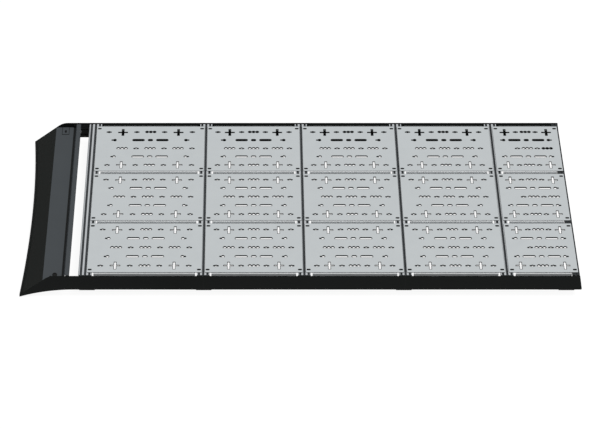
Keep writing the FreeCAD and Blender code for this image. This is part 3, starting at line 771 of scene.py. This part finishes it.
def ledgeCaps():
    s = ledgeCapSizes
    mesh = bpy.data.meshes.new("ledgeCaps")
    rear = (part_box("side_rail_front_right")[0].x / mm + fairingSizes["riserFromTip"]
            - s["clear"]) * mm
    for side in (-1, 1):
        section = rectangleSection(side * s["inner"] * mm, side * s["outer"] * mm,
                                   s["foot"] * mm, s["top"] * mm, "edgeRubber")
        addRun(mesh, section, rear - s["length"] * mm, rear, alongX)
    return addPiece("ledgeCaps", mesh)


ledgeCaps()


# fasteners
def fastenerTree():
    tree, given, result = newTree("seated fasteners", [
        ("Washer Outline", "Object", None), ("Washer Height", "Float", 0.0015),
        ("Head Radius", "Float", 0.005), ("Head Height", "Float", 0.003),
        ("Head Corners", "Int", 6), ("Facing", "Rotation", None), ("Finish", "Material", None)])
    outline = addNode(tree, "GeometryNodeObjectInfo", {"transform_space": "ORIGINAL"},
                      links={"Object": given.outputs["Washer Outline"]})
    filled = addNode(tree, "GeometryNodeFillCurve", {"mode": "NGONS"},
                     links={"Curve": outline.outputs["Geometry"]})
    rise = addNode(tree, "ShaderNodeCombineXYZ", links={"Z": given.outputs["Washer Height"]})
    washer = addNode(tree, "GeometryNodeExtrudeMesh", {"mode": "FACES"},
                     {"Individual": False, "Offset Scale": 1.0},
                     {"Mesh": filled.outputs["Mesh"], "Offset": rise.outputs["Vector"]})
    head = addNode(tree, "GeometryNodeMeshCylinder",
                   links={"Vertices": given.outputs["Head Corners"],
                          "Radius": given.outputs["Head Radius"],
                          "Depth": given.outputs["Head Height"]})
    headLift = addNode(tree, "ShaderNodeMath", {"operation": "MULTIPLY_ADD"},
                       {1: 0.5}, {0: given.outputs["Head Height"],
                                  2: given.outputs["Washer Height"]})
    headRise = addNode(tree, "ShaderNodeCombineXYZ", links={"Z": headLift.outputs["Value"]})
    capped = addNode(tree, "GeometryNodeTransform",
                     links={"Geometry": head.outputs["Mesh"],
                            "Translation": headRise.outputs["Vector"]})
    both = addNode(tree, "GeometryNodeJoinGeometry")
    tree.links.new(washer.outputs["Mesh"], both.inputs["Geometry"])
    tree.links.new(capped.outputs["Geometry"], both.inputs["Geometry"])
    placed = addNode(tree, "GeometryNodeInstanceOnPoints",
                     links={"Points": given.outputs["Geometry"],
                            "Instance": both.outputs["Geometry"],
                            "Rotation": given.outputs["Facing"]})
    real = addNode(tree, "GeometryNodeRealizeInstances",
                   links={"Geometry": placed.outputs["Instances"]})
    painted = addNode(tree, "GeometryNodeSetMaterial",
                      links={"Geometry": real.outputs["Geometry"],
                             "Material": given.outputs["Finish"]})
    tree.links.new(painted.outputs["Geometry"], result.inputs["Geometry"])
    return tree


headTree = fastenerTree()
facings = {"up": (0, 0, 0), "down": (math.pi, 0, 0),
           "right": (-math.pi / 2, 0, 0), "left": (math.pi / 2, 0, 0)}
fastenerSizes = {       # washer length and width, its height, head across, its height, corners
    "panelBolt": (23.1, 9.6, 2.6, 6.5, 0.8, 6),
    "tabBolt": (9.6, 23.1, 1.6, 6.5, 0.8, 6),
    "angleBolt": (17.0, 17.0, 1.6, 13.0, 5.0, 6),
    "footBolt": (20.0, 20.0, 2.0, 17.0, 6.0, 6),
    "coachHead": (14.0, 14.0, 1.4, 9.0, 1.2, 12),
}


def fasteners(name, kind, points, facing, finishName):
    length, width, washerHeight, across, height, corners = fastenerSizes[kind]
    if length >= width:
        outline = roundSlot(length, width, 6) if length > width else arcPoints(
            0, 0, width / 2, 0, 345, 23)
    else:
        outline = [(-y, x) for x, y in roundSlot(width, length, 6)]
    line = curveObject("washerLine", [(x * mm, y * mm) for x, y in outline],
                       bpy.context.scene.collection)
    mesh = grownMesh(name, pointObject(name, points), headTree, {
        "Washer Outline": line, "Washer Height": washerHeight * mm,
        "Head Radius": across / 2 * mm, "Head Height": height * mm, "Head Corners": corners,
        "Facing": facings[facing], "Finish": finishes[finishName]})
    bpy.data.objects.remove(line)
    return addPiece(name, mesh)


places = []
for row in rowNames:
    for column in range(1, 6):
        low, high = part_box("deck_panel_" + row + "_" + str(column))
        places += [(x, y, high.z - panelSizes["thickness"] * mm)
                   for x, y in boltPlaces(column, low, high)]
fasteners("panelBolts", "panelBolt", places, "up", "blackFastener")
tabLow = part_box("fairing_tab")[0]
fasteners("tabBolt", "tabBolt", [(tabMiddle[0], tabMiddle[1], tabLow.z)], "up",
          "blackFastener")

# bolts of the angles, seen from below and from inside the rack
angleSizes = {"thickness": 5.0, "boltInset": 28.0, "wallPitch": 44.0, "wallDrop": 60.0,
              "clear": 0.3}
deckTop = cadBox[1].z
barLow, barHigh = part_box("crossbar_1")
webInner = barHigh.y + angleSizes["clear"] * mm
barX = [(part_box("crossbar_" + str(k))[0].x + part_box("crossbar_" + str(k))[1].x) / 2
        for k in range(1, 7)]
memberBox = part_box("crossmember_bracket_right")
memberX = (memberBox[0].x + memberBox[1].x) / 2
legZ = barLow.z - angleSizes["thickness"] * mm
legY = webInner - angleSizes["boltInset"] * mm
pitch = barSizes["slotPitch"] * mm
wallReach = angleSizes["wallPitch"] / 2 * mm
legPlaces = [(x + step, side * legY, legZ) for x in barX[:-1] for step in (-pitch, pitch)
             for side in (-1, 1)]
legPlaces += [(barX[-1], side * legY, legZ) for side in (-1, 1)]
legPlaces += [(memberX, side * legY, memberBox[1].z - angleSizes["thickness"] * mm)
              for side in (-1, 1)]
fasteners("legBolts", "angleBolt", legPlaces, "down", "zincFastener")
wallX = [x + step for x in barX[:-1] for step in (-wallReach, wallReach)] + [barX[-1], memberX]
for side, facing in ((1, "left"), (-1, "right")):
    fasteners("wallBolts" + facing.capitalize(), "angleBolt",
              [(x, side * (webInner - angleSizes["thickness"] * mm),
                deckTop - angleSizes["wallDrop"] * mm) for x in wallX],
              facing, "zincFastener")

# coach bolts through the rail's flange into the feet
footSizes = {"pitch": 70.0, "fromOutside": 45.0, "flange": 5.0, "plate": 6.0,
             "halfLength": 55.0}
railLow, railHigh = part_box("side_rail_middle_right")
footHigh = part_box("mounting_feet_right")[1]
footX = [barX[0], barX[1], barX[3], footHigh.x - footSizes["halfLength"] * mm]
footY = railHigh.y - footSizes["fromOutside"] * mm
reach = footSizes["pitch"] / 2 * mm
spots = [(x + step, side * footY) for x in footX for step in (-reach, reach) for side in (-1, 1)]
fasteners("footBolts", "coachHead",
          [(x, y, railLow.z + footSizes["flange"] * mm) for x, y in spots], "up",
          "blackFastener")
fasteners("footNuts", "footBolt",
          [(x, y, railLow.z - footSizes["plate"] * mm) for x, y in spots], "down",
          "zincFastener")
print("fasteners done")


# studio
studio = {
    "lens": 129.84, "shift": 0.0847, "cameraPlace": (-0.36067, -11.257, 11.234),
    "cameraTilt": 44.85,    # degrees below level
    "floorReach": 30.0, "floorDrop": 0.001,
    "floorGrey": 0.3,       # for the light that the floor gives back
    "shadowGrey": 0.12, "floorGlow": 0.93, "worldLight": 0.25,
    "sunTowards": (0.34, -0.2, 0.92), "sunDegrees": 25, "sunStrength": 2.55,
}


def camera():
    data = bpy.data.cameras.new("camera")
    data.sensor_width = 36.0
    data.lens = studio["lens"]
    data.shift_x = studio["shift"]
    data.clip_end = 100.0
    view = bpy.data.objects.new("camera", data)
    view.location = studio["cameraPlace"]
    view.rotation_euler = (math.radians(90 - studio["cameraTilt"]), 0, 0)
    bpy.context.scene.collection.objects.link(view)
    bpy.context.scene.camera = view


def paleFloor():
    # white to the camera and in reflections, a plain grey for the light that it gives back
    mesh = bpy.data.meshes.new("floor")
    reach = studio["floorReach"]
    mesh.from_pydata([(-reach, -reach, 0), (reach, -reach, 0), (reach, reach, 0),
                      (-reach, reach, 0)], [], [(0, 1, 2, 3)])
    floor = bpy.data.objects.new("floor", mesh)
    floor.location.z = -studio["floorDrop"]
    bpy.context.scene.collection.objects.link(floor)
    material = bpy.data.materials.new("pale studio floor")
    material.use_nodes = True
    tree = material.node_tree
    tree.nodes.remove(tree.nodes["Principled BSDF"])
    shown = addNode(tree, "ShaderNodeLightPath")
    seen = addNode(tree, "ShaderNodeMath", {"operation": "MAXIMUM"},
                   links={0: shown.outputs["Is Camera Ray"], 1: shown.outputs["Is Glossy Ray"]})
    seenToo = addNode(tree, "ShaderNodeMath", {"operation": "MAXIMUM"},
                      links={0: seen.outputs["Value"], 1: shown.outputs["Is Transmission Ray"]})
    matt = addNode(tree, "ShaderNodeBsdfDiffuse", inputs={"Color": [studio["floorGrey"]] * 3 + [1]})
    faint = addNode(tree, "ShaderNodeBsdfDiffuse", inputs={"Color": [studio["shadowGrey"]] * 3 + [1]})
    glow = addNode(tree, "ShaderNodeEmission", inputs={"Strength": studio["floorGlow"]})
    both = addNode(tree, "ShaderNodeAddShader",
                   links={0: faint.outputs["BSDF"], 1: glow.outputs["Emission"]})
    pick = addNode(tree, "ShaderNodeMixShader",
                   links={"Fac": seenToo.outputs["Value"], 1: matt.outputs["BSDF"],
                          2: both.outputs["Shader"]})
    tree.links.new(pick.outputs["Shader"], tree.nodes["Material Output"].inputs["Surface"])
    mesh.materials.append(material)


def whiteWorld(strength):
    world = bpy.data.worlds.new("studio")
    bpy.context.scene.world = world
    world.use_nodes = True
    tree = world.node_tree
    shown = addNode(tree, "ShaderNodeLightPath")
    level = addNode(tree, "ShaderNodeMapRange",
                    inputs={"To Min": strength, "To Max": 1.0},
                    links={"Value": shown.outputs["Is Camera Ray"]})
    tree.links.new(level.outputs["Result"], tree.nodes["Background"].inputs["Strength"])
    tree.nodes["Background"].inputs["Color"].default_value = (1, 1, 1, 1)


def softSun(name, towards, degrees, strength):
    data = bpy.data.lights.new(name, "SUN")
    data.angle = math.radians(degrees)
    data.energy = strength
    lamp = bpy.data.objects.new(name, data)
    lamp.location = (0, 0, 5)
    lamp.rotation_euler = Vector(towards).to_track_quat("Z", "Y").to_euler()
    bpy.context.scene.collection.objects.link(lamp)


camera()
paleFloor()
whiteWorld(studio["worldLight"])
softSun("overheadBox", studio["sunTowards"], studio["sunDegrees"], studio["sunStrength"])
bpy.context.scene.view_settings.view_transform = "Standard"
for group in (openShapes, rimShapes):
    for shape in list(group.objects):
        bpy.data.objects.remove(shape)
    bpy.data.collections.remove(group)
print("studio done")
